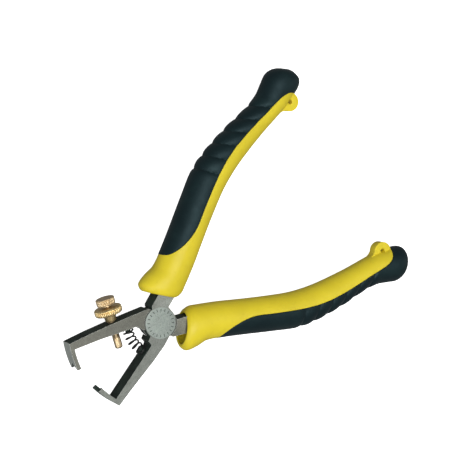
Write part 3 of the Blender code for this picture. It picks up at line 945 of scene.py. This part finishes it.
def sleeve_mesh(name, side):
    """Hard sleeve: a flared collar with an open mouth, then a shell under the cover's edge."""
    mouth, collar_end, tail = GRIP_STATIONS[0, 0], 22.0, 104.0
    places = list(np.arange(mouth, collar_end, 0.4))
    places += crowded_up_to(COVER_START, collar_end, 0.6)
    places += crowded(COVER_START, tail, 1.0)[1:]
    places += crowded_up_to(COVER_WHOLE, tail, 0.6)

    def edge_angles(x):
        half = parting_angle(x)
        return half, 2 * math.pi - half

    def outside(x, angle):
        return rounding(x - mouth, 0.7) * 0.5

    def inside(x, angle):
        return 1.5 + min(0.5, (x - mouth) * 0.12)

    columns = 84
    outer = shell_rows(places, side, edge_angles, outside, 0.25, columns)
    inner = shell_rows(places, side, edge_angles, inside, 0.0, columns)
    open_rows = [parting_angle(x) > 0.0 for x in places]
    rim = []
    for share in np.linspace(0.0, 1.0, 7)[1:-1]:
        bulge = np.array((0.30 * math.sin(math.pi * share) * MM, 0.0, 0.0))
        rim.append([
            tuple(np.array(a) * (1 - share) + np.array(b) * share - bulge)
            for a, b in zip(outer[0], inner[0])
        ])
    return shell_mesh(name, outer, inner, open_rows, rim)


def filling_mesh(name, side):
    """What fills the sleeve round the tang, set back in the collar's mouth."""
    angles = np.linspace(0.0, 2 * math.pi, 40, endpoint=False)

    def pole(x):
        return [grip_point(x, 0.0, station_at(x)[2], side)] * len(angles)

    points = pole(FILLING_X[0])
    for x in FILLING_X:
        points += [grip_point(x, a, FILLING_INSET, side) for a in angles]
    points += pole(FILLING_X[-1])
    return closed_mesh(name, points, tube_faces(len(FILLING_X) + 2, len(angles)))


def loop_outlines():
    """The hanging loop's round eye, flaring into the sleeve, and its hole."""
    cx, cy = LOOP_CENTRE

    def circle(radius, angles):
        return [(cx + radius * math.cos(a), cy + radius * math.sin(a)) for a in angles]

    left = [(98.4, -3.4), (99.8, -5.3), (101.2, -6.1), (102.4, -6.9), (103.1, -7.7)]
    eye = circle(LOOP_RADIUS, np.radians(np.linspace(186.0, 372.0, 30)))
    right = [(111.6, -6.9), (112.0, -6.3), (112.3, -5.2), (112.0, -3.4)]
    hole = circle(LOOP_HOLE_RADIUS, np.linspace(0.0, 2 * math.pi, 28, endpoint=False))
    return left + eye + right, hole


def loop_mesh(name, side):
    """Hanging loop: a flat plate with a hole, cut to its outlines."""
    curve = bpy.data.curves.new(name, "CURVE")
    curve.dimensions = "2D"
    curve.fill_mode = "BOTH"
    curve.extrude = LOOP_HALF_THICKNESS * MM
    for outline in loop_outlines():
        spline = curve.splines.new("POLY")
        spline.points.add(len(outline) - 1)
        for point, (x, y) in zip(spline.points, outline):
            point.co = (x * MM, y * side * MM, 0.0, 1.0)
        spline.use_cyclic_u = True
    flat = add_object(name, curve)
    depsgraph = bpy.context.evaluated_depsgraph_get()
    mesh = bpy.data.meshes.new_from_object(flat.evaluated_get(depsgraph))
    bpy.data.objects.remove(flat)
    work = bmesh.new()
    work.from_mesh(mesh)
    bmesh.ops.remove_doubles(work, verts=work.verts, dist=1e-6)
    level = math.radians(0.5)
    bmesh.ops.dissolve_limit(work, angle_limit=level, verts=work.verts, edges=work.edges)
    bmesh.ops.recalc_face_normals(work, faces=work.faces)
    work.to_mesh(mesh)
    work.free()
    return mesh


# Assembly of the looks

def make_levers(steel):
    dark, hook = steel["wall"], steel["hook"]
    edge = steel["front_edge"]
    finished_lever("front_lever", steel["front"], dark, edge, hook, FRONT_EDGE_WIDTH)
    # The rear lever's broken edges carry a painted highlight line.
    edge = steel["rear_edge_highlight"]
    finished_lever("rear_lever", steel["rear"], dark, edge, hook, REAR_EDGE_WIDTH)
    disc = rivet_disc("rivet_faces", steel["rivet"])
    settle(disc, "front_lever", "rivet_steel", "pivot_rivet")
    marks = plate_marks("rivet_ring_marks", steel["mark"])
    settle(marks, "front_lever", "rivet_steel")
    for node in ("front_spring_peg", "rear_spring_peg"):
        with_materials(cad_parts[node], dark)


def make_brass(head_brass, nut_brass):
    screw_data = joined("stop_screw", screw_head(), screw_shank())
    screw = add_piece("stop_screw", screw_data, screw_frame())
    settle(with_materials(screw, head_brass), "adjusting_screw", "brass", "adjusting_screw")
    nut = add_piece("knurled_nut", nut_mesh("knurled_nut"), screw_frame())
    settle(with_materials(nut, nut_brass), "lock_nut", "brass", "lock_nut")


def make_spring(wire):
    """The opening spring, on the front lever, with a mesh of its own."""
    place = Matrix.Translation((0.0, 0.0, MID_Z))
    spring = add_piece("coil_spring", spring_mesh("coil_spring"), place)
    settle(with_materials(spring, wire), "front_lever", "spring_steel", "opening_spring")
    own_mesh(spring)


def make_grip(prefix, side, plastic, rubber):
    body = f"{prefix}_lever"
    place = lever_frame(side)
    cover = add_piece(f"{prefix}_soft_cover", cover_mesh(f"{prefix}_soft_cover", side), place)
    settle(with_materials(cover, rubber), body, "black_rubber", f"{prefix}_grip_cover")
    shell, filling = sleeve_mesh("sleeve", side), filling_mesh("filling", side)
    sleeve_data = joined(f"{prefix}_sleeve", shell, filling)
    sleeve = add_piece(f"{prefix}_sleeve", sleeve_data, place)
    settle(with_materials(sleeve, plastic), body, "yellow_plastic", f"{prefix}_grip_sleeve")
    loop = add_piece(f"{prefix}_hanging_loop", loop_mesh(f"{prefix}_hanging_loop", side), place)
    bevelled(with_materials(loop, plastic), 1.1 * MM, 6, 50.0)
    smooth(loop.data, 50.0)
    settle(loop, body, "yellow_plastic")


# Studio

def make_floor(paper):
    """A floor just under the tool. It adds no light to the tool and no reflection."""
    work = bmesh.new()
    bmesh.ops.create_grid(work, x_segments=8, y_segments=8, size=3.0)
    mesh = bpy.data.meshes.new("floor")
    work.to_mesh(mesh)
    work.free()
    floor = add_piece("floor", mesh, Matrix.Translation((0.0, 0.0, cad_box[0].z - 0.1 * MM)))
    with_materials(floor, paper)
    floor.visible_diffuse = False
    floor.visible_glossy = False


def make_light(name, place, aim, size, power):
    """A soft rectangular light at place, turned to aim."""
    light = bpy.data.lights.new(name, "AREA")
    light.shape = "RECTANGLE"
    light.size, light.size_y = size
    light.energy = power
    lamp = add_object(name, light)
    lamp.location = place
    lamp.rotation_euler = (Vector(aim) - Vector(place)).to_track_quat("-Z", "Y").to_euler()


def make_studio():
    make_light("overhead", (-0.10, 0.12, 0.95), (0.03, 0.02, 0.0), (0.75, 0.75), 7.6)
    make_light("left_fill", (-0.75, 0.05, 0.45), (0.0, 0.0, 0.0), (0.5, 0.6), 2.2)
    make_light("right_fill", (0.8, -0.5, 0.5), (0.05, 0.0, 0.0), (0.5, 0.6), 0.8)
    world = bpy.data.worlds.new("studio")
    world.use_nodes = True
    background = world.node_tree.nodes["Background"]
    background.inputs["Color"].default_value = (1.0, 1.0, 1.0, 1.0)
    background.inputs["Strength"].default_value = 0.22
    bpy.context.scene.world = world
    bpy.context.scene.view_settings.view_transform = "Standard"


def make_camera():
    """A long lens high above the tool, on the jaws' side of it."""
    position = Vector(CAMERA_POSITION)
    forward = (Vector(CAMERA_TARGET) - position).normalized()
    right = forward.cross(Vector(CAMERA_UP)).normalized()
    upward = right.cross(forward)
    data = bpy.data.cameras.new("camera")
    data.sensor_width = 36.0
    data.lens = CAMERA_LENS
    data.clip_start = 0.01
    data.clip_end = 20.0
    camera = add_object("camera", data)
    place = Matrix((right, upward, -forward)).transposed().to_4x4()
    place.translation = position
    camera.matrix_world = place
    bpy.context.scene.camera = camera


steel = {
    "front": ground_steel(
        "front_ground_steel", (0.235, 0.25, 0.225), 0.42, HALF_OPENING, bright_neck=1.4,
    ),
    "rear": ground_steel(
        "rear_ground_steel", (0.170, 0.172, 0.146), 0.44, -HALF_OPENING, bright_neck=1.5,
    ),
    "front_edge": ground_steel("soft_steel_edge", (0.26, 0.29, 0.27), 0.45, 0.0),
    # The rear lever's broken edges: a near-white, non-metal grey that paints a highlight line
    # along them.
    "rear_edge_highlight": ground_steel("painted_highlight_edge", (0.82, 0.86, 0.80), 0.55, 0.0, metallic=0.0),
    "mark": ground_steel("shaded_steel_marks", (0.09, 0.105, 0.10), 0.55, 0.0, metallic=0.3),
    # The hooks' walls that face along the radius: a light grey that paints in the light these
    # walls catch.
    "hook": ground_steel("hook_wall_painted_light", (0.42, 0.46, 0.43), 0.5, 0.0, metallic=0.3),
    "rivet": ground_steel("rivet_steel_face", (0.34, 0.385, 0.35), 0.40, 0.6),
    "wall": dark_steel("near_black_forging_wall"),
}
head_brass = turned_brass("dull_brass", (0.64, 0.50, 0.305), (0.42, 0.30, 0.16))
nut_brass = turned_brass("yellow_brass", (0.78, 0.61, 0.31), (0.45, 0.30, 0.12))
plastic = yellow_plastic("moulded_yellow")
rubber = black_rubber("soft_black")

make_levers(steel)
make_brass(head_brass, nut_brass)
make_spring(black_wire("black_spring_wire"))
make_grip("front", 1, plastic, rubber)
make_grip("rear", -1, plastic, rubber)
make_floor(floor_paper("white_paper"))
make_studio()
make_camera()
